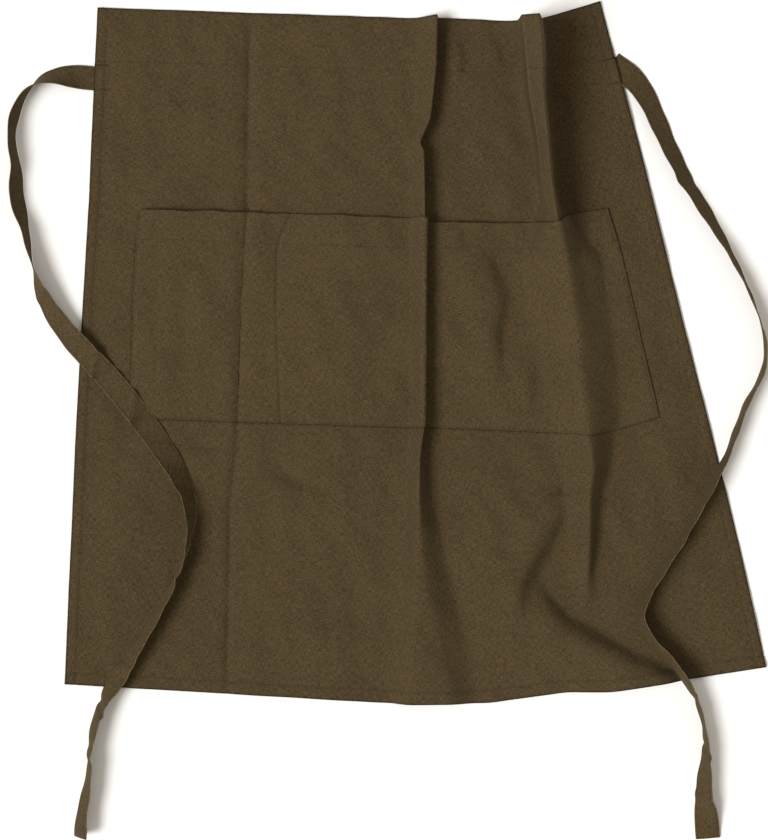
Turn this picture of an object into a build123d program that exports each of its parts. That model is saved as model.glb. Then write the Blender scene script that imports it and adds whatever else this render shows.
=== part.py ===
"""A half apron of cotton canvas, spread face up on a table: skirt, pocket, two ties, seams.

Millimetres. X runs across the apron, Y from the hem up to the waist, Z up from the table.
The cloth is described by lines that run from the waist to the hem. Each has its place
across the table and its height at five rows of the cloth, and a level section of the
apron is the line through them.
"""

import os
from math import radians, tan

from build123d import *

os.makedirs("parts", exist_ok=True)

# Cloth and thread
cloth = 0.8  # canvas thickness
air = 0.05  # air between two layers that lie on each other
thread_width = 0.8
thread_rise = 0.5  # a stitch stands this far above the cloth

# Skirt, as hemmed
skirt_height = 700.0
side_hem = 10.5
bottom_hem = 12.5
waist_hem = 55.0

# Pocket, as hemmed: one piece of cloth, sewn down the middle of its left half
pocket_drop = 207.0  # from the waist edge to the mouth
pocket_height = 216.0
pocket_inset_left = 55.0
pocket_inset_right = 49.0
left_pocket_width = 157.0
pocket_mouth_hem = 31.0
edge_stitch = 2.0
belly = 7.0  # how far a pocket stands open
belly_run = 34.0  # the width over which it opens
belly_rise = 30.0  # and the height, above the pocket's foot
closed_share = 0.04  # what is left of the belly along the pocket's foot

# Ties
tie_width = 25.0
tie_thickness = 1.2
tie_anchor = 13.0  # how far a tie's sewn end reaches in from the side edge
tie_anchor_inset = 1.5  # the anchor's stitching starts this far in from the side hem's
left_tie_drop = 72.0  # from the waist edge to the middle of the tie
right_tie_drop = 72.0

# Rows of the cloth that the drape is set at, measured down from the waist edge
apex = 590.0  # where the standing pinch runs out
rows = [0.0, pocket_drop, pocket_drop + pocket_height, apex, skirt_height]

# Drape: each line's place across the table at those rows, its level at the waist edge,
# and how much of its length shows in plan
left_line = {"x": [-327, -337, -349.5, -357, -361], "waist_y": 354.8, "plan": 0.9946}
right_line = {"x": [190, 245, 300, 340, 361], "waist_y": 361.5, "plan": 0.979}
crest_width = 3.0

# The low fold, which leans to the right and slackens towards the hem
low_fold = {
    "x": [22, 11.5, 10.5, -1, -8],
    "height": [23, 24, 23, 18, 12],
    "foot": [12, 12, 12, 16, 24],
    "heel": [2, 2, 2, 12, 24],
    "waist_y": 344.0,
    "plan": 1.0065,
}

# The standing pinch, tall at the waist, which takes up the turn of the right side
pinch = {
    "x": [121, 141.5, 174, 178, 180],
    "height": [88, 62, 32, 1.5, 1],
    "foot": [12, 7, 10, 6, 6],
    "heel": [10, 10, 10, 6, 6],
    "waist_y": 333.5,
    "plan": 0.975,
}

overrun = 12.0  # sections run past the outline, which then cuts them
tallest = 200.0
right_edge_reach = -0.0001  # a reach is counted from the right edge when it is below zero
clear = 1.0  # stitching stops this far short of a seam it meets


def read(values, row):
    """The value at a row of the cloth, from its values at the five drape rows."""
    for (low, high), (first, last) in zip(zip(rows, rows[1:]), zip(values, values[1:])):
        if row <= high:
            share = max(0.0, (row - low) / (high - low))
            return first + (last - first) * share
    return values[-1]


def line_point(line, row):
    """Place of an edge line at a row: x, y, z."""
    return (read(line["x"], row), line["waist_y"] - line["plan"] * row, 0.0)


def fold_points(fold, row):
    """The four corners of a fold at a row: foot, two sides of its crest, heel."""
    middle = read(fold["x"], row)
    y = fold["waist_y"] - fold["plan"] * row
    height = read(fold["height"], row)
    return [
        (middle - crest_width / 2 - read(fold["foot"], row), y, 0.0),
        (middle - crest_width / 2, y, height),
        (middle + crest_width / 2, y, height),
        (middle + crest_width / 2 + read(fold["heel"], row), y, 0.0),
    ]


def row_points(row):
    """The cloth across the apron at one of its rows, from the left edge to the right."""
    ends = [line_point(left_line, row)], [line_point(right_line, row)]
    return ends[0] + fold_points(low_fold, row) + fold_points(pinch, row) + ends[1]


def spot(row, reach):
    """The point of a row at a distance along the cloth: from the right if negative."""
    points = [Vector(*point) for point in row_points(row)]
    if reach < 0:
        points.reverse()
        reach = -reach
    for start, end in zip(points, points[1:]):
        run = (end - start).length
        if reach <= run:
            return start + (end - start) * (reach / run)
        reach -= run
    return points[-1]


def plan(point):
    """A point without its height."""
    return (point[0], point[1]) if isinstance(point, tuple) else (point.X, point.Y)


def across(row, start, stop):
    """Plan points along a row, between two distances from its left and right ends."""
    first, last = plan(spot(row, start)), plan(spot(row, -stop))
    between = [plan(point) for point in row_points(row)]
    return [first] + [p for p in between if first[0] + clear < p[0] < last[0] - clear] + [last]


def down(reach, first_row, last_row):
    """Plan points down the cloth at a fixed distance in from an edge."""
    between = [row for row in rows if first_row + clear < row < last_row - clear]
    return [plan(spot(row, reach)) for row in [first_row] + between + [last_row]]


def level_row(line, y):
    """The row of a line that lies at a level of the table."""
    return (line["waist_y"] - y) / line["plan"]


def level_nodes(y):
    """The cloth's section at a level: x and z from the left side to the right."""
    left = read(left_line["x"], level_row(left_line, y)) - overrun
    right = read(right_line["x"], level_row(right_line, y)) + overrun
    folds = [
        (x, z)
        for fold in (low_fold, pinch)
        for x, _, z in fold_points(fold, level_row(fold, y))
    ]
    return [(left, 0.0)] + folds + [(right, 0.0)]


def raised(nodes, lifts):
    """A section's line moved outwards by a lift at each of its nodes."""
    points = [Vector(x, z) for x, z in nodes]
    moved = []
    for index, point in enumerate(points):
        before = point - points[index - 1] if index else points[1] - point
        after = points[index + 1] - point if index + 1 < len(points) else before
        bisector = (before.normalized() + after.normalized()).normalized()
        corner = abs(bisector.dot(after.normalized()))
        normal = Vector(-bisector.Y, bisector.X)
        moved.append(point + normal * (lifts[index] / corner))
    return moved


def section(y, nodes, lifts, thickness):
    """A closed section of a layer of cloth, standing at a level of the table."""
    under = raised(nodes, lifts)
    over = raised(nodes, [lift + thickness for lift in lifts])
    with BuildSketch(Plane.XZ.offset(-y)) as profile:
        with BuildLine():
            Polyline(*under, *reversed(over), close=True)
        make_face()
    return profile.sketch


skirt_top = right_line["waist_y"] + overrun
skirt_foot = low_fold["waist_y"] - low_fold["plan"] * skirt_height - overrun
bends = [fold["waist_y"] - fold["plan"] * row for fold in (low_fold, pinch) for row in rows]
inner_bends = [y for y in bends if skirt_foot + clear < y < skirt_top - clear]
levels = [skirt_top] + sorted(inner_bends, reverse=True) + [skirt_foot]


def lay_of_skirt(lift, thickness):
    """Sections of a layer that follows the skirt, from the waist to the hem."""
    sheets = []
    for y in levels:
        nodes = level_nodes(y)
        sheets.append(section(y, nodes, [lift] * len(nodes), thickness))
    return sheets


# Pocket: the skirt's section with a belly in each stretch that stands open
mouth_row = pocket_drop
foot_row = pocket_drop + pocket_height
pocket_top = spot(mouth_row, 0).Y + overrun
belly_foot = line_point(left_line, foot_row)[1] + overrun
pocket_bottom = pinch["waist_y"] - pinch["plan"] * foot_row - overrun
pocket_levels = [pocket_top, belly_foot + belly_rise, belly_foot, pocket_bottom]
pocket_levels += [y for y in inner_bends if pocket_bottom + clear < y < pocket_top - clear]
pocket_levels.sort(reverse=True)
divider_reach = pocket_inset_left + left_pocket_width


def belly_nodes(y, lift, open_share):
    """The pocket's section: nodes and their lifts, open between its seams."""
    nodes = level_nodes(y)
    row = level_row(left_line, y)
    left_x = spot(row, pocket_inset_left).X
    divider_x = spot(row, divider_reach).X
    right_x = spot(row, -pocket_inset_right).X
    fold_foot, fold_heel = nodes[1][0], nodes[4][0]
    pinch_foot = nodes[5][0]
    full = lift + belly * open_share
    line = [(left_x - overrun, 0.0, lift)]
    for first, last in ((left_x, divider_x), (divider_x, fold_foot), (fold_heel, pinch_foot)):
        if first == fold_heel:
            line += [(x, z, lift) for x, z in nodes[1:4]]
        line += [(first, 0.0, lift), (first + belly_run, 0.0, full)]
        line += [(last - belly_run, 0.0, full)]
    line += [(x, z, lift) for x, z in nodes[5:9]]
    line += [(right_x + overrun, 0.0, lift)]
    return [(x, z) for x, z, _ in line], [rise for _, _, rise in line]


def lay_of_pocket(lift, thickness):
    """Sections of a layer that follows the pocket, from its mouth to its foot."""
    sheets = []
    for y in pocket_levels:
        open_share = min(1.0, max(closed_share, (y - belly_foot) / belly_rise))
        nodes, lifts = belly_nodes(y, lift, open_share)
        sheets.append(section(y, nodes, lifts, thickness))
    return sheets


def over_outline(outline):
    """A face on the table inside an outline."""
    with BuildSketch(Plane.XY.offset(-clear)) as face:
        with BuildLine():
            Polyline(*outline, close=True)
        make_face()
    return face.sketch


def over_seam(seam):
    """A narrow band on the table along a line of stitching."""
    with BuildSketch(Plane.XY.offset(-clear)) as band:
        with BuildLine() as run:
            Polyline(*seam)
        trace(run.line, thread_width)
    return band.sketch


def save(part, name):
    """Label a finished piece and write its file."""
    part.label = name
    export_step(part, f"parts/{name}.step")


# Skirt panel
skirt_outline = [plan(point) for point in row_points(0)]
skirt_outline += down(right_edge_reach, 0, skirt_height)[1:-1]
skirt_outline += [plan(point) for point in reversed(row_points(skirt_height))]
skirt_outline += list(reversed(down(0, 0, skirt_height)[1:-1]))

with BuildPart() as skirt_panel:
    loft(lay_of_skirt(0, cloth), ruled=True)
    extrude(over_outline(skirt_outline), amount=tallest, mode=Mode.INTERSECT)
save(skirt_panel.part, "skirt_panel")

# Pocket panel
pocket_outline = across(mouth_row, pocket_inset_left, pocket_inset_right)
pocket_outline += down(-pocket_inset_right, mouth_row, foot_row)[1:-1]
pocket_outline += list(reversed(across(foot_row, pocket_inset_left, pocket_inset_right)))

with BuildPart() as pocket_panel:
    loft(lay_of_pocket(cloth + air, cloth), ruled=True)
    extrude(over_outline(pocket_outline), amount=tallest, mode=Mode.INTERSECT)
save(pocket_panel.part, "pocket_panel")

# Stitching on the skirt
skirt_seams = {
    "left_side_hem_thread": down(side_hem, 0, skirt_height),
    "right_side_hem_thread": down(-side_hem, 0, skirt_height),
    "bottom_hem_thread": across(skirt_height - bottom_hem, side_hem + clear, side_hem + clear),
    "waist_hem_thread": across(waist_hem, side_hem + clear, side_hem + clear),
}
for name, seam in skirt_seams.items():
    with BuildPart() as seam_thread:
        loft(lay_of_skirt(cloth + air, thread_rise), ruled=True)
        extrude(over_seam(seam), amount=tallest, mode=Mode.INTERSECT)
    save(seam_thread.part, name)


# The stitching that holds each tie's sewn end
def anchor_box(drop, side):
    """The four stitched sides of a tie's end, in from the edge on one side."""
    near = side * (side_hem + tie_anchor_inset)
    far = near + side * tie_anchor
    top, bottom = drop - tie_width / 2, drop + tie_width / 2
    corners = [plan(spot(row, reach)) for row, reach in
               ((top, near), (top, far), (bottom, far), (bottom, near))]
    return corners + corners[:1]


for name, drop, side in (
    ("left_tie_anchor_thread", left_tie_drop, 1),
    ("right_tie_anchor_thread", right_tie_drop, -1),
):
    with BuildPart() as anchor_thread:
        loft(lay_of_skirt(cloth + air, thread_rise), ruled=True)
        extrude(over_seam(anchor_box(drop, side)), amount=tallest, mode=Mode.INTERSECT)
    save(anchor_thread.part, name)

# Stitching on the pocket
left_edge, right_edge = pocket_inset_left + edge_stitch, pocket_inset_right + edge_stitch
inner_foot = foot_row - edge_stitch
round_the_pocket = down(left_edge, mouth_row + clear, inner_foot)
round_the_pocket += across(inner_foot, left_edge, right_edge)[1:]
round_the_pocket += list(reversed(down(-right_edge, mouth_row + clear, inner_foot)))[1:]
mouth_seam = across(mouth_row + pocket_mouth_hem, left_edge + clear, right_edge + clear)
below_mouth_seam = mouth_row + pocket_mouth_hem + thread_width
pocket_seams = {
    "pocket_edge_thread": round_the_pocket,
    "pocket_mouth_thread": mouth_seam,
    "pocket_divider_thread": down(divider_reach, below_mouth_seam, inner_foot - clear),
}
for name, seam in pocket_seams.items():
    with BuildPart() as seam_thread:
        loft(lay_of_pocket(2 * (cloth + air), thread_rise), ruled=True)
        extrude(over_seam(seam), amount=tallest, mode=Mode.INTERSECT)
    save(seam_thread.part, name)


# Ties: the middle line of each tape, from the side edge to its end. A tape lies flat where
# it is low, and stands on its edge where its middle is half its width up.
left_route = [
    (-331, 282, 1),
    (-357, 284, 5),
    (-383, 281, 10),
    (-404, 269, 13),
    (-419, 247, 13),
    (-424, 219, 12),
    (-416, 190, 10),
    (-410, 160, 10),
    (-400, 128, 13),
    (-394, 94, 13),
    (-384, 60, 11),
    (-363, 25, 7),
    (-332, -8, 6),
    (-298, -46, 6),
    (-268, -86, 7),
    (-244, -121, 9),
    (-230, -155, 12),
    (-231, -191, 14),
    (-243, -229, 14),
    (-266, -271, 14),
    (-302, -326, 14),
    (-325, -365, 13),
    (-333, -395, 13),
    (-334, -426, 13),
    (-339, -457, 13),
    (-344, -480, 13),
    (-344, -498, 13),
]
right_route = [
    (212, 290, 1.8),
    (228, 278, 3),
    (242, 253, 4),
    (256, 219, 4),
    (273, 184, 4),
    (293, 151, 5),
    (315, 115, 7),
    (336, 75, 10),
    (352, 38, 13),
    (360, 5, 13),
    (355, -25, 13),
    (340, -48, 13),
    (330, -75, 13),
    (320, -103, 14),
    (303, -136, 14),
    (273, -189, 14),
    (251, -224, 14),
    (236, -247, 14),
    (227, -271, 14),
    (241, -296, 14),
    (262, -316, 14),
    (279, -341, 14),
    (291, -365, 13),
    (297, -392, 13),
    (297, -420, 13),
    (295, -447, 10),
    (298, -470, 6),
    (300, -488, 2),
    (301, -500, 2),
]
run_share = 0.45


def bend_radii(route):
    """The largest arc that the two runs beside each point leave room for."""
    radii = []
    points = [Vector(*point) for point in route]
    for before, point, after in zip(points, points[1:], points[2:]):
        turn = (point - before).get_angle(after - point)
        shorter = min((point - before).length, (after - point).length)
        radii.append(run_share * shorter / tan(radians(turn / 2)))
    return radii


for name, route in (("left_tie", left_route), ("right_tie", right_route)):
    with BuildPart() as tie:
        with BuildLine() as middle_line:
            FilletPolyline(*route, radius=bend_radii(route))
        start = Vector(*route[0])
        heading = Vector(*route[1]) - start
        side_ways = Vector(-heading.Y, heading.X, 0)
        with BuildSketch(Plane(origin=start, x_dir=side_ways, z_dir=heading)):
            Rectangle(tie_width, tie_thickness)
        sweep()
    save(tie.part, name)
    length = sum(edge.length for edge in middle_line.edges())
    section_length = tie.part.volume / (tie_width * tie_thickness)
    print(name, "tightest", round(min(bend_radii(route))), "length", round(length),
          "volume as a length", round(section_length))
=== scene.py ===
import bmesh
import bpy
import numpy as np
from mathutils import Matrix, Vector
from mathutils.bvhtree import BVHTree


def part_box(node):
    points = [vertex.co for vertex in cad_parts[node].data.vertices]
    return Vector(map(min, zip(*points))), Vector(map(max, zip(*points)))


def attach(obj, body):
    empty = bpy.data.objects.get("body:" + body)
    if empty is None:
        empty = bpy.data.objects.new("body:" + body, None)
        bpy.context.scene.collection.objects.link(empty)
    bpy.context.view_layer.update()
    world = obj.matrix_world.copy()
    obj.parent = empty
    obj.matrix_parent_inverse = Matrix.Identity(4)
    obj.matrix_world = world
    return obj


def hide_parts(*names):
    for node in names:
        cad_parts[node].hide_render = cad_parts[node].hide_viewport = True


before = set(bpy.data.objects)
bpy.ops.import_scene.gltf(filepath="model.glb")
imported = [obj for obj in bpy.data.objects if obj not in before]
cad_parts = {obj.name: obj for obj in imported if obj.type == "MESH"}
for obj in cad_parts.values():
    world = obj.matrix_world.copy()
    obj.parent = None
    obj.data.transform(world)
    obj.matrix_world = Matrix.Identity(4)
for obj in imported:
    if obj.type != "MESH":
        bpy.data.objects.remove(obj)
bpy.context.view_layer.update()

skirtLow, skirtHigh = (np.array(corner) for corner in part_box("skirt_panel"))
centreX = (skirtLow[0] + skirtHigh[0]) / 2
millimetre = (skirtHigh[0] - skirtLow[0]) / 722  # the skirt is 722 mm across as it lies


# --- drape of the cloth

drape = {
    "height": 0.700,         # waist edge to hem, along the cloth
    "lie": 0.0016,           # the cloth's upper side above the table
    "fineU": 0.001,          # spacing of the worked-out surface
    "fineV": 0.0025,
    "sharp": 0.0013,         # rounding of a pressed edge
    "soft": 0.0060,          # rounding of a rolling fold
    "alongV": 0.0032,
}

# each line runs from the waist (v = 0) to the hem: places are (v in m, mm)
edges = {
    "left": {"x": [(0, -327), (0.058, -330), (0.2, -336), (0.3, -342), (0.45, -350), (0.7, -361)],
             "waistY": 354.8, "plan": 994.6},
    "right": {"x": [(0, 190), (0.06, 205.5), (0.15, 230), (0.24, 252), (0.34, 276), (0.423, 297),
                    (0.5, 316), (0.58, 335), (0.7, 361)],
              "waistY": 361.5, "plan": 979},
}
lowFold = {
    "waistY": 344.0, "plan": 1006.5,
    "drift": [(0, 0), (0.207, 2.4), (0.423, 4.6), (0.7, 0)],  # how far its rows lie above an even spacing
    "crest": [(0, 21.5), (0.055, 20.5), (0.092, 16.5), (0.108, 14.5), (0.1215, 8.5), (0.1315, 3.2), (0.1375, 8.5),
              (0.146, 8.4), (0.207, 9.6), (0.423, 8.4), (0.45, 4), (0.5, 3), (0.55, 0.5), (0.6, -1.5), (0.7, -8)],
    "height": [(0, 23), (0.12, 21), (0.1315, 18), (0.16, 22), (0.4, 23), (0.5, 24), (0.56, 25),
               (0.6, 24), (0.64, 22), (0.7, 20)],
    "foot": [(0, 20), (0.12, 16), (0.207, 13), (0.42, 12), (0.52, 13), (0.7, 18)],
    "heel": [(0, -2.5), (0.43, -2.5), (0.47, 3), (0.5, 14), (0.56, 34), (0.6, 44), (0.64, 56), (0.7, 70)],
    "shoulder": [(0, 1), (0.5, 1), (0.56, 7), (0.6, 16), (0.64, 30), (0.7, 44)],
    "soft": [(0, 0), (0.47, 0), (0.56, 0.8), (0.7, 0.8)],
}
pinch = {
    "waistY": 333.5, "plan": 975,
    "drift": [(0, 0), (0.207, 1.0), (0.423, -6.5), (0.7, 0)],
    "crest": [(0, 121), (0.03, 124.5), (0.08, 126), (0.12, 130.5), (0.167, 135), (0.207, 142), (0.25, 153.5),
              (0.337, 167), (0.389, 170.5), (0.424, 175.5), (0.459, 180.5), (0.485, 177), (0.575, 177), (0.7, 180)],
    "height": [(0, 88), (0.12, 73), (0.19, 62), (0.207, 54), (0.235, 38), (0.30, 29), (0.385, 27), (0.43, 26),
               (0.459, 26), (0.515, 21), (0.56, 14), (0.597, 4), (0.612, 0), (0.7, 0)],
    "foot": [(0, 15.5), (0.07, 13.3), (0.13, 8.8), (0.19, 9.4), (0.207, 9.5), (0.25, 17), (0.32, 15),
             (0.37, 10), (0.42, 5),
             (0.46, 6), (0.485, 6), (0.7, 6)],
    "knee": [(0, 0.66), (0.19, 0.64), (0.25, 0.75), (0.42, 0.85), (0.47, 0.8), (0.7, 0.8)],
    "base": [(0, 0.6), (0.19, 1.0), (0.25, 22), (0.42, 24), (0.47, 20), (0.52, 12), (0.7, 10)],
    "heel": [(0, 9), (0.19, 8), (0.215, 15), (0.25, 36), (0.40, 38), (0.44, 24), (0.5, 13), (0.575, 7), (0.7, 7)],
    "footY": 341, "kneeY": 337.5, "heelY": 343.5, "farY": 347.5,
    "soft": [(0, 0), (0.195, 0), (0.24, 0.55), (0.42, 0.45), (0.46, 0.25), (0.56, 0.3), (0.7, 1)],
}
hemY = -349  # where every line of the pinch meets the hem


def along(values, v):
    # a line's value at v, from its (v, value) places
    places = np.array(values, dtype=float)
    return np.interp(v, places[:, 0], places[:, 1])


def smoothAlong(field, sigma, spacing, axis):
    # Gaussian blur of an array along one axis, its ends carried on straight
    reach = int(np.ceil(3 * sigma / spacing))
    field = np.moveaxis(field, axis, 0)
    steps = np.arange(reach, 0, -1).reshape((-1,) + (1,) * (field.ndim - 1))
    before = field[:1] + (field[:1] - field[1:2]) * steps
    after = field[-1:] + (field[-1:] - field[-2:-1]) * steps[::-1]
    padded = np.concatenate([before, field, after])
    weights = np.exp(-0.5 * (np.arange(-reach, reach + 1) * spacing / sigma) ** 2)
    weights /= weights.sum()
    count = field.shape[0]
    blurred = sum(weight * padded[shift:shift + count] for shift, weight in enumerate(weights))
    return np.moveaxis(blurred, 0, axis)


def foldNodes(fold, v):
    # foot, two crest corners and heel of a fold at each v: x, y, z and softness
    crest, height = along(fold["crest"], v), along(fold["height"], v)
    soft = along(fold["soft"], v)
    y = fold["waistY"] - fold["plan"] * v + along(fold["drift"], v)
    nodes = []
    for x, z, softness in (
        (crest - along(fold["foot"], v) - 9, 0 * v, 0.5 + 0.5 * soft),
        (crest - along(fold["foot"], v), 0.03 * height, 0.15 + 0.7 * soft),
        (crest - 1.0, height, soft),
        (crest + along(fold["shoulder"], v), height * (1 - 0.004 * along(fold["shoulder"], v)), soft),
        (crest + along(fold["heel"], v), 0.02 * height, 0.3 + 0.7 * soft),
        (crest + along(fold["heel"], v) + 12, 0 * v, 0.6 + 0.4 * soft),
    ):
        nodes.append(np.stack([x, y, z, softness], axis=-1))
    return nodes


def pinchNodes(v):
    # the standing pinch: a steep wall up to its knee, a narrow strip up to its crest, and the drop behind it
    crest, height, soft = along(pinch["crest"], v), along(pinch["height"], v), along(pinch["soft"], v)
    foot, base, heel = along(pinch["foot"], v), along(pinch["base"], v), along(pinch["heel"], v)

    def lineY(waistY, share=1.0):
        return waistY + (hemY - waistY) * v / drape["height"] + share * along(pinch["drift"], v)

    crestY = pinch["waistY"] - pinch["plan"] * v + along(pinch["drift"], v)
    nodes = []
    for x, y, z, softness in (
        (crest - foot - base - 9, lineY(pinch["footY"]), 0 * v, 0.5 + 0.5 * soft),
        (crest - foot - base, lineY(pinch["footY"]), 0.03 * height, 0.15 + 0.85 * soft),
        (crest - foot, lineY(pinch["kneeY"]), along(pinch["knee"], v) * height, 0.08 + 0.6 * soft),
        (crest - 1.0, crestY, height, soft),
        (crest + 1.0, crestY, height, soft),
        (crest + heel, lineY(pinch["heelY"], 0.75), 0.02 * height, 0.3 + 0.7 * soft),
        (crest + heel + 13, lineY(pinch["farY"], 0.45), 0 * v, 0.6 + 0.4 * soft),
    ):
        nodes.append(np.stack([x, y, z, softness], axis=-1))
    return nodes


def edgeNode(edge, v):
    x = along(edge["x"], v)
    return np.stack([x, edge["waistY"] - edge["plan"] * v, 0 * v, 0 * v + 0.5], axis=-1)


vFine = np.arange(0, drape["height"] + 1e-6, drape["fineV"])
nodes = np.stack([edgeNode(edges["left"], vFine)] + foldNodes(lowFold, vFine)
                 + pinchNodes(vFine) + [edgeNode(edges["right"], vFine)], axis=1)
nodes[..., 0] = nodes[..., 0] + centreX / millimetre
nodes[..., :3] *= millimetre
runs = np.linalg.norm(np.diff(nodes[..., :3], axis=1), axis=-1)
reach = np.concatenate([np.zeros((len(vFine), 1)), np.cumsum(runs, axis=1)], axis=1)
clothWidth = float(np.median(reach[:, -1]))
reach *= clothWidth / reach[:, -1:]
print("cloth width", round(clothWidth, 4))

uFine = np.linspace(0, clothWidth, int(round(clothWidth / drape["fineU"])) + 1)
fineU = uFine[1]
between = np.clip((reach[:, :, None] <= uFine[None, None, :]).sum(axis=1) - 1, 0, nodes.shape[1] - 2)
start = np.take_along_axis(reach, between, axis=1)
stop = np.take_along_axis(reach, between + 1, axis=1)
share = ((uFine - start) / (stop - start))[..., None]
first = np.take_along_axis(nodes, between[..., None], axis=1)
last = np.take_along_axis(nodes, between[..., None] + 1, axis=1)
surface = first + (last - first) * share

softness = np.clip(smoothAlong(surface[..., 3:], 0.004, fineU, 1), 0, 1)
crisp = smoothAlong(surface[..., :3], drape["sharp"], fineU, 1)
rolling = smoothAlong(surface[..., :3], drape["soft"], fineU, 1)
surface = crisp + (rolling - crisp) * softness
surface = smoothAlong(surface, drape["alongV"], drape["fineV"], 0)


# --- creases and wrinkles, as (x, y) in m on the table

creases = {  # a dip has one lowest line; a step falls away to the right of its line
    "pressed": {"points": [(-0.170, 0.360), (-0.173, 0.142), (-0.179, 0.054), (-0.183, -0.077),
                           (-0.182, -0.086), (-0.190, -0.152), (-0.194, -0.360)],
                "depth": -0.0042, "width": 0.0044, "form": "pressed", "fade": 0.0},
    "sideUpper": {"points": [(-0.340, 0.165), (-0.316, 0.166)], "depth": -0.0014, "width": 0.0028},
    "sideLower": {"points": [(-0.340, 0.156), (-0.318, 0.155)], "depth": -0.0012, "width": 0.0028},
    "leftLow": {"points": [(-0.350, -0.104), (-0.268, -0.100)], "depth": -0.0020, "width": 0.0045},
    "midLow": {"points": [(-0.240, -0.096), (-0.183, -0.098)], "depth": -0.0020, "width": 0.0045},
    "dimple": {"points": [(-0.150, -0.116), (-0.119, -0.132), (-0.086, -0.142)],
               "depth": -0.0034, "width": 0.008},
    "besideFold": {"points": [(0.041, 0.340), (0.049, 0.301), (0.045, 0.270)],
                   "depth": -0.0030, "width": 0.0042, "form": "step"},
    "waistSlant": {"points": [(0.066, 0.340), (0.085, 0.317), (0.091, 0.285)],
                   "depth": -0.0042, "width": 0.0048, "form": "step"},
    "pocketLong": {"points": [(0.052, 0.125), (0.077, 0.093), (0.092, 0.054), (0.085, 0.013), (0.087, -0.050)],
                   "depth": -0.0115, "width": 0.0090, "form": "step"},
    "pocketLow": {"points": [(0.122, -0.005), (0.118, -0.078)], "depth": -0.0034, "width": 0.0045, "form": "step"},
    "pleatA": {"points": [(0.108, 0.136), (0.112, 0.095)], "depth": -0.0026, "width": 0.004, "form": "step"},
    "pleatB": {"points": [(0.040, 0.134), (0.050, 0.100)], "depth": -0.0026, "width": 0.004, "form": "step"},
    "apexShort": {"points": [(0.175, -0.140), (0.161, -0.138), (0.143, -0.144)],
                  "depth": -0.0050, "width": 0.0046},
    "apexLong": {"points": [(0.163, -0.146), (0.138, -0.194), (0.114, -0.236), (0.103, -0.288)],
                 "depth": -0.0200, "width": 0.0100, "form": "step", "fade": 0.32},
    "hemSlant": {"points": [(0.112, -0.219), (0.135, -0.246), (0.156, -0.273), (0.183, -0.290), (0.231, -0.315),
                            (0.300, -0.345)],
                 "depth": -0.0260, "width": 0.0122, "form": "step", "fade": 0.22},
    "riser": {"points": [(0.232, -0.236), (0.196, -0.253), (0.176, -0.270)],
              "depth": 0.0095, "width": 0.0065, "form": "step"},
    "cornerSlant": {"points": [(0.149, 0.336), (0.162, 0.324), (0.180, 0.300)],
                    "depth": -0.0040, "width": 0.0052, "form": "step"},
    "edgeNick": {"points": [(0.293, -0.076), (0.290, -0.116)], "depth": -0.0022, "width": 0.004},
    "lowLeft": {"points": [(-0.300, -0.190), (-0.286, -0.300)], "depth": -0.0022, "width": 0.010, "form": "step"},
    "lowMiddle": {"points": [(-0.090, -0.180), (-0.060, -0.330)], "depth": -0.0026, "width": 0.012, "form": "step"},
    "highMiddle": {"points": [(-0.070, 0.320), (-0.085, 0.160)], "depth": -0.0024, "width": 0.012, "form": "step"},
    "pocketLeft": {"points": [(-0.250, 0.100), (-0.240, -0.060)], "depth": -0.0022, "width": 0.010, "form": "step"},
    "pocketMiddle": {"points": [(-0.060, 0.110), (-0.050, -0.060)], "depth": -0.0022, "width": 0.012, "form": "step"},
    "facetSwell": {"points": [(0.055, -0.05), (0.070, -0.18), (0.075, -0.30)], "depth": 0.0030, "width": 0.026},
    "midSwell": {"points": [(-0.08, 0.30), (-0.10, -0.30)], "depth": 0.0022, "width": 0.05},
}
weaveSlack = {"waves": 24, "height": 0.00018, "shortest": 0.024, "longest": 0.110, "seed": 11}


def crease(place, points, depth, width, form="dip", fade=0.35):
    # height of a crease at its distance d from a chain of points: a dip is exp(-(d/w)^2), a pressed line exp(-d/w),
    # and a step (1 + tanh(d/w))/2 on the line's right, levelling out again; each fades towards its two ends
    height = np.zeros(place.shape[:-1])
    chain = np.array(points)
    lengths = np.linalg.norm(np.diff(chain, axis=0), axis=1)
    total, done = lengths.sum(), 0.0
    nearest = np.full(height.shape, 9.0)
    position = np.zeros(height.shape)
    rightHand = np.zeros(height.shape)
    for a, b, length in zip(chain, chain[1:], lengths):
        direction = (b - a) / length
        offset = place - a
        t = np.clip(offset @ direction, 0, length)
        distance = np.linalg.norm(offset - t[..., None] * direction, axis=-1)
        closer = distance < nearest
        nearest = np.where(closer, distance, nearest)
        position = np.where(closer, (done + t) / total, position)
        beside = direction[0] * offset[..., 1] - direction[1] * offset[..., 0]
        rightHand = np.where(closer, np.sign(beside), rightHand)
        done += length
    if form == "step":
        fall = 0.5 * np.tanh(rightHand * nearest / width) * np.exp(-nearest / (5.5 * width))
    elif form == "pressed":
        fall = np.exp(-nearest / width)
    else:
        fall = np.exp(-(nearest / width) ** 2)
    if fade > 0:
        ends = np.clip(np.minimum(position, 1 - position) / fade, 0, 1)
        rest = 0.0 if form == "step" else 0.15  # a step has to be level beyond its ends
        fall = fall * (rest + (1 - rest) * ends * ends * (3 - 2 * ends))
    return depth * fall


def slack(place, settings):
    # slight unevenness of the cloth: a sum of plane waves of mixed length and direction
    random = np.random.default_rng(settings["seed"])
    total = np.zeros(place.shape[:-1])
    for number in range(settings["waves"]):
        length = settings["shortest"] * (settings["longest"] / settings["shortest"]) ** random.random()
        angle = random.random() * 2 * np.pi
        wave = place @ np.array([np.cos(angle), np.sin(angle)]) * 2 * np.pi / length
        total += settings["height"] * (length / 0.04) ** 0.8 * np.sin(wave + random.random() * 2 * np.pi)
    return total


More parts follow.
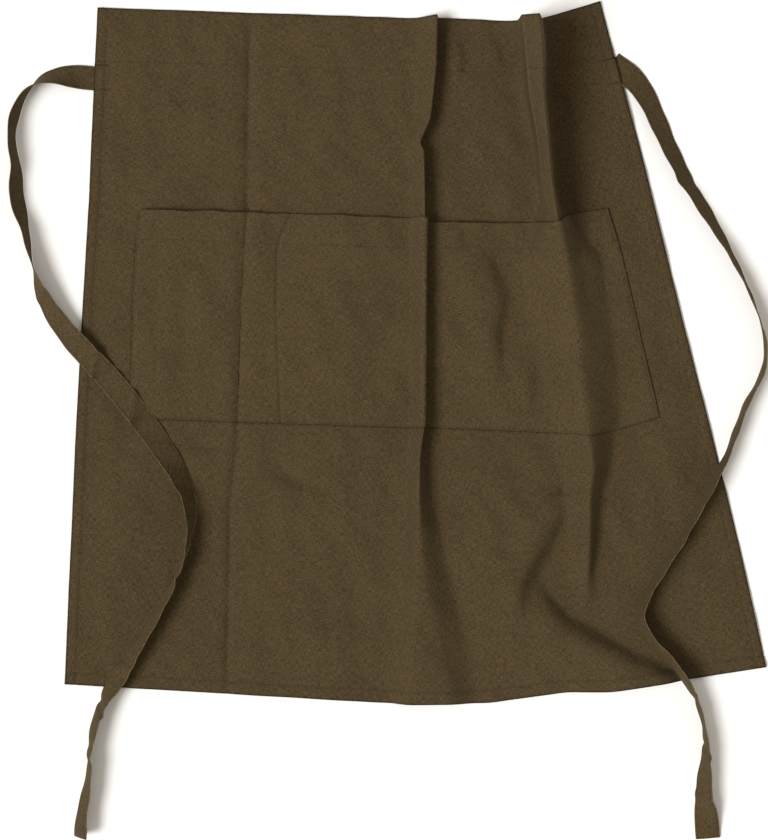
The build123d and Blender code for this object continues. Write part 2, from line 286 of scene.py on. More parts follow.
flatness = np.clip(1 - surface[..., 2] / 0.010, 0, 1)  # the folds' walls keep their own shape
creaseGain = 1.25
lift = creaseGain * sum(crease(surface[..., :2], **settings) for settings in creases.values())
lift = lift * (0.55 + 0.45 * flatness) + slack(surface[..., :2], weaveSlack)
vGrid, uGrid = np.meshgrid(vFine, uFine, indexing="ij")
inward = np.minimum(np.minimum(uGrid, clothWidth - uGrid), np.minimum(vGrid, drape["height"] - vGrid))
rucked = np.exp(-((surface[..., 0] - 0.16) / 0.12) ** 2 - ((surface[..., 1] + 0.22) / 0.085) ** 2)
# the cloth's inner part stands a little proud of its edges
floorLift = 0.0010 + (0.0034 + 0.0045 * rucked) * np.clip(inward / 0.05, 0, 1) ** 0.8
surface[..., 2] = surface[..., 2] + drape["lie"] + np.logaddexp(0, (lift + floorLift) / 0.0012) * 0.0012


def normalsOf(grid):
    # unit normals of a grid of points, rows running from the waist to the hem
    across = np.gradient(grid, axis=1)
    downward = np.gradient(grid, axis=0)
    normal = np.cross(downward, across)
    return normal / np.maximum(np.linalg.norm(normal, axis=-1, keepdims=True), 1e-12)


normals = normalsOf(surface)


def sample(field, u, v):
    # value of a worked-out field at any place of the cloth, from its four neighbours
    column = np.clip(u / fineU, 0, field.shape[1] - 1.001)
    row = np.clip(v / drape["fineV"], 0, field.shape[0] - 1.001)
    c, r = column.astype(int), row.astype(int)
    fc, fr = (column - c)[..., None], (row - r)[..., None]
    upper = field[r, c] * (1 - fc) + field[r, c + 1] * fc
    lower = field[r + 1, c] * (1 - fc) + field[r + 1, c + 1] * fc
    return upper * (1 - fr) + lower * fr


# --- building meshes

def buildMesh(name, places, corners, starts, flat):
    # a smooth-shaded object from points, face corners, where each face starts, and each point's UV in metres
    mesh = bpy.data.meshes.new(name)
    mesh.vertices.add(len(places))
    mesh.vertices.foreach_set("co", places.reshape(-1))
    mesh.loops.add(len(corners))
    mesh.loops.foreach_set("vertex_index", corners)
    mesh.polygons.add(len(starts))
    mesh.polygons.foreach_set("loop_start", starts)
    mesh.update(calc_edges=True)
    layer = mesh.uv_layers.new(name="cloth")
    layer.data.foreach_set("uv", flat[corners].reshape(-1))
    mesh.polygons.foreach_set("use_smooth", np.ones(len(starts), dtype=bool))
    mesh.validate()
    made = bpy.data.objects.new(name, mesh)
    bpy.context.scene.collection.objects.link(made)
    return made


def tubeMesh(name, points, uv):
    # rings of points carried along a line and joined all round, open at its two ends
    rows, columns = points.shape[:2]
    left = np.arange(rows * columns).reshape(rows, columns)
    right = np.roll(left, -1, axis=1)
    corners = np.stack([left[:-1], left[1:], right[1:], right[:-1]], axis=-1).reshape(-1)
    return buildMesh(name, points.reshape(-1, 3), corners, np.arange(0, corners.size, 4), uv.reshape(-1, 2))


def clothSheet(name, points, thickness, uv):
    # a sheet with its own thickness: the fine grid above, every second point of it below, and a rim between them
    rows, columns = points.shape[:2]
    normal = normalsOf(points)
    under = (points - normal * thickness)[::2, ::2]
    lowRows, lowColumns = under.shape[:2]
    top = np.arange(rows * columns).reshape(rows, columns)
    low = np.arange(lowRows * lowColumns).reshape(lowRows, lowColumns) + rows * columns
    quads = [np.stack([top[:-1, :-1], top[1:, :-1], top[1:, 1:], top[:-1, 1:]], axis=-1).reshape(-1, 4),
             np.stack([low[:-1, :-1], low[:-1, 1:], low[1:, 1:], low[1:, :-1]], axis=-1).reshape(-1, 4)]
    triangles = []
    for upper, lower, flip in ((top[0], low[0], False), (top[-1], low[-1], True),
                               (top[:, 0], low[:, 0], True), (top[:, -1], low[:, -1], False)):
        a, b, c, d, e = upper[:-2:2], upper[1:-1:2], upper[2::2], lower[:-1], lower[1:]
        rim = np.concatenate([np.stack(three, axis=-1) for three in ((a, b, d), (b, e, d), (b, c, e))])
        triangles.append(rim[:, ::-1] if flip else rim)
    quads, triangles = np.concatenate(quads), np.concatenate(triangles)
    corners = np.concatenate([quads.reshape(-1), triangles.reshape(-1)])
    places = np.concatenate([points.reshape(-1, 3), under.reshape(-1, 3)])
    flat = np.concatenate([uv.reshape(-1, 2), uv[::2, ::2].reshape(-1, 2)])
    starts = np.concatenate([np.arange(len(quads)) * 4, quads.size + np.arange(len(triangles)) * 3])
    return buildMesh(name, places, corners, starts, flat)


def steps(*stretches):
    # places along one direction of the cloth: (start, stop, spacing) for each stretch
    places = np.concatenate([np.linspace(a, b, max(1, int(round((b - a) / gap))), endpoint=False)
                             for a, b, gap in stretches])
    if len(places) % 2:
        places = np.insert(places, 1, (places[0] + places[1]) / 2)  # an even count of gaps
    return np.append(places, stretches[-1][1])


def smoothStep(value, low, high):
    t = np.clip((value - low) / (high - low), 0, 1)
    return t * t * (3 - 2 * t)


def groove(distance, depth, width):
    return -depth * np.exp(-(distance / width) ** 2)


# --- skirt

skirt = {
    "sideHem": 0.0105,
    "bottomHem": 0.0125,
    "waistHem": 0.055,
    "hemRise": 0.0008,      # a turned hem is this much thicker
    "shoulder": (0.0006, 0.0022),  # and slopes down between these distances past its seam
    "anchorReach": 0.0145,  # how far in a tie's stitched box reaches
    "seamDepth": 0.0008,
    "seamWidth": 0.0013,
    "thickness": 0.0010,
}
height = drape["height"]
crestColumns = {"low": reach[:, 3], "pinch": reach[:, 10]}


def followCrests(u, v):
    # shifts the mesh's columns so that they run along the two crests
    shifted = u + 0 * v
    for line, spread in ((crestColumns["low"], 0.045), (crestColumns["pinch"], 0.060)):
        middle = np.median(line)
        pull = np.clip(1 - np.abs(u - middle) / spread, 0, 1)
        shifted = shifted + pull * (np.interp(v, vFine, line) - middle)
    return shifted


def skirtLift(u, v):
    # hems stand up by a layer of cloth, and each seam draws the cloth in
    sideIn = np.minimum(u, clothWidth - u)
    bottomIn = height - v
    near, far = skirt["shoulder"]
    hem = 1 - smoothStep(sideIn, skirt["sideHem"] + near, skirt["sideHem"] + far)
    hem = np.maximum(hem, 1 - smoothStep(bottomIn, skirt["bottomHem"] + near, skirt["bottomHem"] + far))
    hem = np.maximum(hem, 0.7 * (1 - smoothStep(v, skirt["waistHem"] + near, skirt["waistHem"] + far)))
    rise = skirt["hemRise"] * hem
    for distance in (sideIn - skirt["sideHem"], bottomIn - skirt["bottomHem"], v - skirt["waistHem"]):
        rise = rise + groove(distance, skirt["seamDepth"], skirt["seamWidth"])
    border = np.minimum(np.minimum(sideIn, bottomIn), v)
    return rise - 0.0007 * np.exp(-border / 0.0009)  # a folded edge is round


pinchMiddle = float(np.median(crestColumns["pinch"]))
lowMiddle = float(np.median(crestColumns["low"]))
skirtColumns = steps(
    (0, 0.003, 0.0010), (0.003, 0.009, 0.003), (0.009, 0.013, 0.0010), (0.013, 0.148, 0.0042),
    (0.148, 0.178, 0.0015), (0.178, lowMiddle - 0.035, 0.0042),
    (lowMiddle - 0.035, lowMiddle + 0.060, 0.0019), (lowMiddle + 0.060, pinchMiddle - 0.100, 0.0028),
    (pinchMiddle - 0.100, pinchMiddle + 0.095, 0.0023), (pinchMiddle + 0.095, clothWidth - 0.013, 0.0032),
    (clothWidth - 0.013, clothWidth - 0.009, 0.0010), (clothWidth - 0.009, clothWidth - 0.003, 0.003),
    (clothWidth - 0.003, clothWidth, 0.0010))
waistHem, bottomIn = skirt["waistHem"], height - skirt["bottomHem"]
skirtRows = steps(
    (0, 0.002, 0.0010), (0.002, waistHem - 0.002, 0.0044), (waistHem - 0.002, waistHem + 0.003, 0.0010),
    (waistHem + 0.003, 0.105, 0.0036), (0.105, 0.150, 0.0022), (0.150, 0.21, 0.0034), (0.21, 0.42, 0.0040),
    (0.42, bottomIn - 0.003, 0.0029), (bottomIn - 0.003, bottomIn + 0.002, 0.0010),
    (bottomIn + 0.002, height - 0.002, 0.0035), (height - 0.002, height, 0.0010))
uSkirt, vSkirt = np.meshgrid(skirtColumns, skirtRows)
uSkirt = followCrests(uSkirt, vSkirt)
skirtPoints = sample(surface, uSkirt, vSkirt) + sample(normals, uSkirt, vSkirt) * skirtLift(uSkirt, vSkirt)[..., None]
print("skirt grid", skirtPoints.shape)
skirtPanel = clothSheet("skirt", skirtPoints, skirt["thickness"], np.stack([uSkirt, vSkirt], axis=-1))


# --- pocket

pocket = {
    "insetLeft": 0.055,
    "insetRight": 0.049,
    "mouth": 0.207,
    "foot": 0.423,
    "divider": 0.212,
    "mouthHem": 0.031,
    "edgeStitch": 0.002,
    "gap": 0.0019,           # the pocket's upper side above the skirt's, where it is sewn down
    "belly": 0.0046,
    "thickness": 0.0009,
}
pocketRight = clothWidth - pocket["insetRight"]


def mouthAt(u):
    # the mouth hangs a little lower between the two folds
    return pocket["mouth"] + 0.0045 * smoothStep(u, lowMiddle - 0.002, lowMiddle + 0.014) * (
        1 - smoothStep(u, pinchMiddle - 0.02, pinchMiddle + 0.03))


def pocketLift(u, v):
    # height of the pocket above the skirt: sewn down at its edges, open at its mouth
    depth = (v - mouthAt(u)) / (pocket["foot"] - mouthAt(u))
    openDown = np.clip(1 - depth, 0, 1) ** 0.8 * smoothStep(1 - depth, 0, 0.25)
    swell = np.zeros(np.broadcast(u, v).shape)
    for a, b, size in ((pocket["insetLeft"], pocket["divider"], 1.0), (pocket["divider"], lowMiddle - 0.022, 0.5),
                       (lowMiddle + 0.026, pinchMiddle - 0.066, 0.75), (pinchMiddle + 0.05, pocketRight, 0.3)):
        t = np.clip((u - a) / (b - a), 0, 1)
        swell = swell + size * np.sin(np.pi * t) ** 0.8
    corner = np.exp(-((u - 0.088) / 0.03) ** 2) * np.exp(-((v - pocket["mouth"]) / 0.03) ** 2)
    lip = 0.0010 * np.exp(-(v - mouthAt(u)) / 0.012) * smoothStep(u, pocket["insetLeft"], pocket["insetLeft"] + 0.01)
    rise = pocket["gap"] + pocket["belly"] * swell * openDown + 0.0028 * corner + lip
    sideIn = np.minimum(u - pocket["insetLeft"], pocketRight - u)
    footIn = pocket["foot"] - v
    mouthIn = v - mouthAt(u)
    rise = rise + 0.0006 * (1 - smoothStep(mouthIn, *(pocket["mouthHem"] + edge for edge in skirt["shoulder"])))
    for distance in (sideIn - pocket["edgeStitch"], footIn - pocket["edgeStitch"], mouthIn - pocket["mouthHem"],
                     u - pocket["divider"]):
        rise = rise + groove(distance, 0.0008, 0.0013)
    border = np.minimum(np.minimum(sideIn, footIn), mouthIn)
    return rise - 0.0004 * np.exp(-border / 0.0009)


left, divider = pocket["insetLeft"], pocket["divider"]
pocketColumns = steps(
    (left, left + 0.004, 0.0010), (left + 0.004, 0.148, 0.0036), (0.148, 0.178, 0.0015),
    (0.178, divider - 0.003, 0.0036), (divider - 0.003, divider + 0.003, 0.0010),
    (divider + 0.003, lowMiddle - 0.035, 0.0036), (lowMiddle - 0.035, lowMiddle + 0.060, 0.0019),
    (lowMiddle + 0.060, pinchMiddle - 0.100, 0.0026), (pinchMiddle - 0.100, pinchMiddle + 0.080, 0.0022),
    (pinchMiddle + 0.080, pocketRight - 0.004, 0.0036), (pocketRight - 0.004, pocketRight, 0.0010))
pocketShares = steps(
    (0, 0.009, 0.0045), (0.009, 0.130, 0.012), (0.130, 0.158, 0.0046), (0.158, 0.982, 0.0125),
    (0.982, 1.0, 0.0045))
uPocket, sPocket = np.meshgrid(pocketColumns, pocketShares)
uPocket = followCrests(uPocket, 0.315 + 0 * sPocket)
uPocket[:, 0], uPocket[:, -1] = left, pocketRight
vPocket = mouthAt(uPocket) + sPocket * (pocket["foot"] - mouthAt(uPocket))
pocketPoints = (sample(surface, uPocket, vPocket)
                + sample(normals, uPocket, vPocket) * pocketLift(uPocket, vPocket)[..., None])
print("pocket grid", pocketPoints.shape)
pocketPanel = clothSheet("pocket", pocketPoints, pocket["thickness"], np.stack([uPocket, vPocket], axis=-1))


# --- stitching

stitch = {"pitch": 0.0033, "length": 0.0027, "radius": 0.00026, "sides": 5}


def stitchRow(name, paths, liftAt, lift=0.0):
    # rows of short thread capsules that follow lines drawn on the cloth
    rings = np.array([(-0.5, 0.35), (-0.40, 0.85), (0.0, 1.0), (0.40, 0.85), (0.5, 0.35)])
    angles = np.arange(stitch["sides"]) * 2 * np.pi / stitch["sides"]
    allPoints = []
    for path in paths:
        path = np.array(path)
        ends = np.linalg.norm(np.diff(path, axis=0), axis=1)
        distance = np.concatenate([[0], np.cumsum(ends)])
        count = max(1, int(distance[-1] / stitch["pitch"]))
        middles = (np.arange(count) + 0.5) * distance[-1] / count
        spots = middles[:, None] + rings[None, :, 0] * stitch["length"]
        u, v = (np.interp(spots, distance, path[:, axis]) for axis in (0, 1))
        base, normal = sample(surface, u, v), sample(normals, u, v)
        arch = lift + stitch["radius"] * (0.9 - 1.5 * np.abs(rings[:, 0]) ** 2 * 4 * 0.5)
        base = base + normal * (liftAt(u, v) + arch)[..., None]
        tangent = base[:, -1:] - base[:, :1]
        tangent = tangent / np.linalg.norm(tangent, axis=-1, keepdims=True)
        side = np.cross(tangent + 0 * normal, normal)
        radius = stitch["radius"] * rings[None, :, 1, None, None]
        circle = base[:, :, None] + radius * (np.cos(angles)[None, None, :, None] * side[:, :, None]
                                              + np.sin(angles)[None, None, :, None] * normal[:, :, None])
        allPoints.append(circle)
    points = np.concatenate(allPoints)
    count, ringCount, sides = points.shape[:3]
    index = np.arange(count * ringCount * sides).reshape(count, ringCount, sides)
    turned = np.roll(index, -1, axis=2)
    quads = np.stack([index[:, :-1], turned[:, :-1], turned[:, 1:], index[:, 1:]], axis=-1).reshape(-1, 4)
    caps = np.concatenate([index[:, 0, ::-1], index[:, -1]])
    mesh = bpy.data.meshes.new(name)
    mesh.from_pydata(points.reshape(-1, 3).tolist(), [], quads.tolist() + caps.tolist())
    mesh.polygons.foreach_set("use_smooth", np.ones(len(mesh.polygons), dtype=bool))
    mesh.update()
    made = bpy.data.objects.new(name, mesh)
    bpy.context.scene.collection.objects.link(made)
    return made


def straight(a, b, count=60):
    # a line on the cloth between two places, in enough points to follow the drape
    t = np.linspace(0, 1, count)[:, None]
    return np.array(a) * (1 - t) + np.array(b) * t


inLeft, inRight = skirt["sideHem"], clothWidth - skirt["sideHem"]
seams = {
    "left_side_hem_thread": ([straight((inLeft, 0.002), (inLeft, height - 0.001))], skirtLift),
    "right_side_hem_thread": ([straight((inRight, 0.002), (inRight, height - 0.001))], skirtLift),
    "bottom_hem_thread": ([straight((inLeft, bottomIn), (inRight, bottomIn))], skirtLift),
    "waist_hem_thread": ([straight((inLeft, waistHem), (inRight, waistHem))], skirtLift),
}
tieDrop = 0.072
halfTie = 0.0125
for side, near, far in (("left", 0.0010, skirt["anchorReach"]),
                        ("right", clothWidth - 0.0010, clothWidth - skirt["anchorReach"])):
    box = [(near, tieDrop - halfTie), (far, tieDrop - halfTie), (far, tieDrop + halfTie), (near, tieDrop + halfTie)]
    seams[side + "_tie_anchor_thread"] = ([straight(a, b, 8) for a, b in zip(box, box[1:])], skirtLift)
edgeIn, footIn = pocket["edgeStitch"], pocket["foot"] - pocket["edgeStitch"]
uSeam = np.linspace(left + edgeIn, pocketRight - edgeIn, 120)
mouthLine = np.stack([uSeam, mouthAt(uSeam) + pocket["mouthHem"]], axis=-1)
seams["pocket_edge_thread"] = ([
    straight((left + edgeIn, pocket["mouth"] + 0.001), (left + edgeIn, footIn)),
    straight((left + edgeIn, footIn), (pocketRight - edgeIn, footIn)),
    straight((pocketRight - edgeIn, footIn), (pocketRight - edgeIn, pocket["mouth"] + 0.001))], pocketLift)
seams["pocket_mouth_thread"] = ([mouthLine], pocketLift)
seams["pocket_divider_thread"] = ([straight((divider, pocket["mouth"] + 0.001), (divider, footIn))], pocketLift)

threads = {}
for name, (paths, liftAt) in seams.items():
    threads[name] = stitchRow("stitches_" + name.replace("_thread", ""), paths, liftAt)
print("stitch rows", len(threads))


# --- ties

tie = {"width": 0.025, "thickness": 0.0013, "spacing": 0.0022, "cup": 0.0006}

# x, y, z in mm: the middle of each tape from the side edge to its end
leftRoute = [
    (-317, 281, 0.7), (-331, 282, 0.8), (-357, 284, 5), (-383, 281, 10), (-400, 267, 13), (-411, 245, 13),
    (-415, 217, 12),
    (-408, 190, 10), (-410, 160, 10), (-400, 128, 13), (-394, 94, 13), (-384, 60, 11), (-363, 25, 7),
    (-332, -8, 6), (-298, -46, 6), (-268, -86, 7), (-244, -121, 9), (-230, -155, 12), (-231, -191, 14),
    (-243, -229, 14), (-266, -271, 14), (-302, -326, 14), (-325, -365, 13), (-333, -395, 13), (-334, -426, 13),
    (-339, -457, 13), (-344, -480, 13), (-344, -498, 13),
]
rightRoute = [
    (202, 298, 0.7), (213, 290, 0.9), (228, 278, 3), (242, 253, 4), (256, 219, 4), (273, 184, 4), (293, 151, 5),
    (315, 115, 7),
    (336, 75, 10), (352, 38, 13), (360, 5, 13), (355, -25, 13), (340, -48, 13), (330, -75, 13), (320, -103, 14),
    (303, -136, 14), (273, -189, 14), (251, -224, 14), (236, -247, 14), (227, -271, 14), (241, -296, 14),
    (262, -316, 14), (279, -341, 14), (291, -365, 13), (297, -392, 13), (297, -420, 13), (295, -447, 10),
    (298, -470, 6), (300, -488, 2), (301, -500, 2),
]
# how far the tape is banked at each of those points, in degrees: 0 flat, 90 on its edge
leftBank = [(0, 0), (1, 0), (2, -40), (3, -76), (4, -100), (5, -103), (6, -98), (7, -110), (8, -122), (9, -99),
            (10, -87), (11, -50), (12, -30), (13, -12), (14, 4), (15, 18), (16, 40), (17, 62), (18, 82), (19, 100),
            (20, 108), (21, 124), (21.45, 146), (21.8, 140), (22, 112), (23, 113), (24, 101), (25, 112), (26, 120),
            (27, 126)]
rightBank = [(0, 0), (1, 0), (2, 28), (3, 36), (4, 44), (5, 50), (6, 54), (7, 68), (8, 76), (9, 80), (10, 90),
             (11, 92), (12, 94), (13, 96), (14, 94), (15, 100), (16, 100), (17, 102), (18, 104), (19, 104), (20, 104),
             (21, 106), (22, 102), (23, 94), (24, 91), (25, 99), (26, 118), (27, 128), (27.6, 150), (28, 168),
             (29, 176)]
# where a tape is crinkled across: metres along it, how deep, how long, and how slanted
crinkles = {
    "left": [(0.040, 0.0005, 0.006, 0.5), (0.300, 0.0007, 0.005, 0.4), (0.392, 0.0022, 0.0035, 0.7),
             (0.406, -0.0015, 0.004, -0.2), (0.452, 0.0018, 0.004, 0.9), (0.468, -0.0011, 0.004, 0.5),
             (0.560, 0.0010, 0.005, -0.5), (0.640, -0.0014, 0.004, 0.4), (0.745, 0.0012, 0.005, -0.3),
             (0.800, 0.0016, 0.004, 0.5), (0.850, -0.0014, 0.005, 0.2)],
    "right": [(0.148, -0.0012, 0.007, -0.4), (0.560, 0.0006, 0.006, -0.5), (0.745, 0.0010, 0.005, -0.3),
              (0.800, 0.0014, 0.004, 0.5), (0.850, -0.0012, 0.005, 0.2)],
}


def routeLine(route):
    # the smooth line that a tape's points pull, read back from a NURBS curve
    data = bpy.data.curves.new("route", "CURVE")
    data.dimensions = "3D"
    spline = data.splines.new("NURBS")
    spline.points.add(len(route) - 1)
    metres = [(x * millimetre + centreX, y * millimetre, z * millimetre) for x, y, z in route]
    for point, place in zip(spline.points, metres):
        point.co = (*place, 1)
    spline.order_u = 3
    spline.use_endpoint_u = True
    spline.resolution_u = 16
    carrier = bpy.data.objects.new("route", data)
    bpy.context.scene.collection.objects.link(carrier)
    bpy.context.view_layer.update()
    line = bpy.data.meshes.new_from_object(carrier)
    points = np.empty(len(line.vertices) * 3)
    line.vertices.foreach_get("co", points)
    bpy.data.objects.remove(carrier)
    bpy.data.curves.remove(data)
    bpy.data.meshes.remove(line)
    return points.reshape(-1, 3)


def gridFaces(grid, first):
    index = np.arange(grid.shape[0] * grid.shape[1]).reshape(grid.shape[:2]) + first
    return np.stack([index[:-1, :-1], index[1:, :-1], index[1:, 1:], index[:-1, 1:]], axis=-1).reshape(-1, 4).tolist()


clothTree = BVHTree.FromPolygons(
    skirtPoints.reshape(-1, 3).tolist() + pocketPoints.reshape(-1, 3).tolist(),
    gridFaces(skirtPoints, 0) + gridFaces(pocketPoints, skirtPoints.shape[0] * skirtPoints.shape[1]))


def heightUnder(x, y):
    # top of the cloth at a place on the table, or the table itself
    hit = clothTree.ray_cast(Vector((x, y, 0.2)), Vector((0, 0, -1)))[0]
    return hit.z if hit is not None else 0.0


def restingHeight(centre, turn):
    # the tape's middle stands above what it lies on by half its width times the sine of its bank
    reachAcross = 0.010
    under = np.array([max(heightUnder(x + dx, y) for dx in (-reachAcross, 0, reachAcross)) for x, y, z in centre])
    stand = tie["width"] / 2 * np.abs(np.sin(turn)) + tie["thickness"] / 2 + 0.0003
    wanted = under + stand
    begun = np.clip((np.arange(len(centre)) * tie["spacing"] - 0.016) / 0.02, 0, 1)
    height = centre[:, 2] * (1 - begun) + np.maximum(wanted, 0) * begun
    return smoothAlong(height, 0.006, tie["spacing"], 0)


def tapeMesh(name, route, bank):
    # a folded tape: a rounded flat section carried along its line and turned by its bank
    line = routeLine(route)
    distance = np.concatenate([[0], np.cumsum(np.linalg.norm(np.diff(line, axis=0), axis=1))])
    count = int(distance[-1] / tie["spacing"])
    along = np.linspace(0, distance[-1], count)
    centre = np.stack([np.interp(along, distance, line[:, axis]) for axis in range(3)], axis=-1)
    centre = smoothAlong(centre, 0.004, along[1], 0)
    position = np.interp(along, distance, np.linspace(0, len(route) - 1, len(line)))
    turn = np.interp(position, *np.array(bank, dtype=float).T)
    turn = smoothAlong(np.radians(turn), 0.008, along[1], 0)
    centre[:, 2] = restingHeight(centre, turn)
    tangent = np.gradient(centre, axis=0)
    tangent /= np.linalg.norm(tangent, axis=1, keepdims=True)
    up = np.array([0.0, 0.0, 1.0])
    side = np.cross(tangent, up)
    side /= np.linalg.norm(side, axis=1, keepdims=True)
    above = np.cross(side, tangent)
    wide = side * np.cos(turn)[:, None] + above * np.sin(turn)[:, None]
    thin = above * np.cos(turn)[:, None] - side * np.sin(turn)[:, None]
    half = tie["width"] / 2
    acrossTape = np.array([-1, -0.985, -0.90, -0.82, -0.4, 0, 0.4, 0.82, 0.90, 0.985, 1])
    seamDip = 0.0003 * np.exp(-((np.abs(acrossTape) - 0.86) / 0.05) ** 2)
    cup = tie["cup"] * (acrossTape ** 2 - 0.4)
    body = tie["thickness"] / 2 * (1 - 0.55 * np.abs(acrossTape) ** 24)
    topSide = np.stack([acrossTape * half, cup + body - seamDip], axis=-1)
    lowSide = np.stack([acrossTape[::-1] * half, (cup - body + seamDip)[::-1]], axis=-1)
    profile = np.concatenate([topSide, lowSide])
    endHem = 1 + 0.5 * (along > distance[-1] - 0.012) - 0.55 * (along > distance[-1] - 0.001)
    ripple = sum(1.5 * depth * np.exp(-((along[:, None] - at - slant * profile[None, :, 0]) / length) ** 2)
                 for at, depth, length, slant in crinkles[name.split("_")[0]])
    ripple = ripple + 0.0004 * np.sin(along[:, None] * 190 + profile[None, :, 0] * 160)
    points = (centre[:, None] + wide[:, None] * profile[None, :, :1]
              + thin[:, None] * profile[None, :, 1:] * endHem[:, None, None]
              + thin[:, None] * ripple[..., None])
    points[..., 2] = np.maximum(points[..., 2], 0.0004)
    edge = profile[:, 0] + half
    grid = points.shape[:2]
    uv = np.stack([np.broadcast_to(edge, grid), np.broadcast_to(along[:, None], grid)], axis=-1)
    tape = tubeMesh(name, points, uv)
    return tape, centre, distance[-1], points


def closeEnds(piece, sectionPoints):
    # closes the two ends of a tape with fans of quads across it
    mesh = piece.data
    sides = sectionPoints.shape[1]
    last = (sectionPoints.shape[0] - 1) * sides
    half = sides // 2
    work = bmesh.new()
    work.from_mesh(mesh)
    work.verts.ensure_lookup_table()
    for base, flip in ((0, False), (last, True)):
        for step in range(half - 1):
            corners = [base + step, base + step + 1, base + sides - 2 - step, base + sides - 1 - step]
            if flip:
                corners.reverse()
            work.faces.new([work.verts[corner] for corner in corners])
    bmesh.ops.recalc_face_normals(work, faces=work.faces)
    work.to_mesh(mesh)
    work.free()


tapes = {}
for name, route, bank in (("left_tie", leftRoute, leftBank), ("right_tie", rightRoute, rightBank)):
    tape, centre, length, sectionPoints = tapeMesh(name + "_tape", route, bank)
    closeEnds(tape, sectionPoints)
    tapes[name] = (tape, centre, length)
    print(name, "length", round(length, 3))


# --- materials

class Socket:
    # a node socket that can be used in sums and products
    def __init__(self, nodes, links, socket):
        self.nodes, self.links, self.socket = nodes, links, socket

    def _math(self, operation, other, swapped=False):
        node = self.nodes.new("ShaderNodeMath")
        node.operation = operation
        values = (other, self) if swapped else (self, other)
        for index, value in enumerate(values):
            if isinstance(value, Socket):
                self.links.new(value.socket, node.inputs[index])
            elif value is not None:
                node.inputs[index].default_value = value
        return Socket(self.nodes, self.links, node.outputs[0])

    def __add__(self, other): return self._math("ADD", other)
    def __radd__(self, other): return self._math("ADD", other, True)
    def __sub__(self, other): return self._math("SUBTRACT", other)
    def __rsub__(self, other): return self._math("SUBTRACT", other, True)
    def __mul__(self, other): return self._math("MULTIPLY", other)
    def __rmul__(self, other): return self._math("MULTIPLY", other, True)
    def __truediv__(self, other): return self._math("DIVIDE", other)
    def __rtruediv__(self, other): return self._math("DIVIDE", other, True)
    def __pow__(self, other): return self._math("POWER", other)


class Shader:
    # one material and the nodes that make it
    def __init__(self, name):
        self.material = bpy.data.materials.new(name)
        self.material.use_nodes = True
        self.nodes = self.material.node_tree.nodes
        self.links = self.material.node_tree.links
        self.surface = self.nodes["Principled BSDF"]

    def node(self, kind, settings=None, output=0, **values):
        made = self.nodes.new(kind)
        for key, value in (settings or {}).items():
            setattr(made, key, value)
        for key, value in values.items():
            title = key.replace("_", " ")
            socket = made.inputs[title] if title in made.inputs else made.inputs[int(key[1:])]
            if isinstance(value, Socket):
                self.links.new(value.socket, socket)
            else:
                socket.default_value = value
        return Socket(self.nodes, self.links, made.outputs[output])

    def join(self, value, name):
        self.links.new(value.socket, self.surface.inputs[name])


canvas = {
    "light": (0.101, 0.071, 0.0345, 1),
    "dark": (0.025, 0.0172, 0.0078, 1),
    "green": (0.054, 0.049, 0.0200, 1),
    "red": (0.084, 0.046, 0.0225, 1),
    "warpPerMetre": 1250.0,
    "weftPerMetre": 1100.0,
    "roughness": 0.92,
}


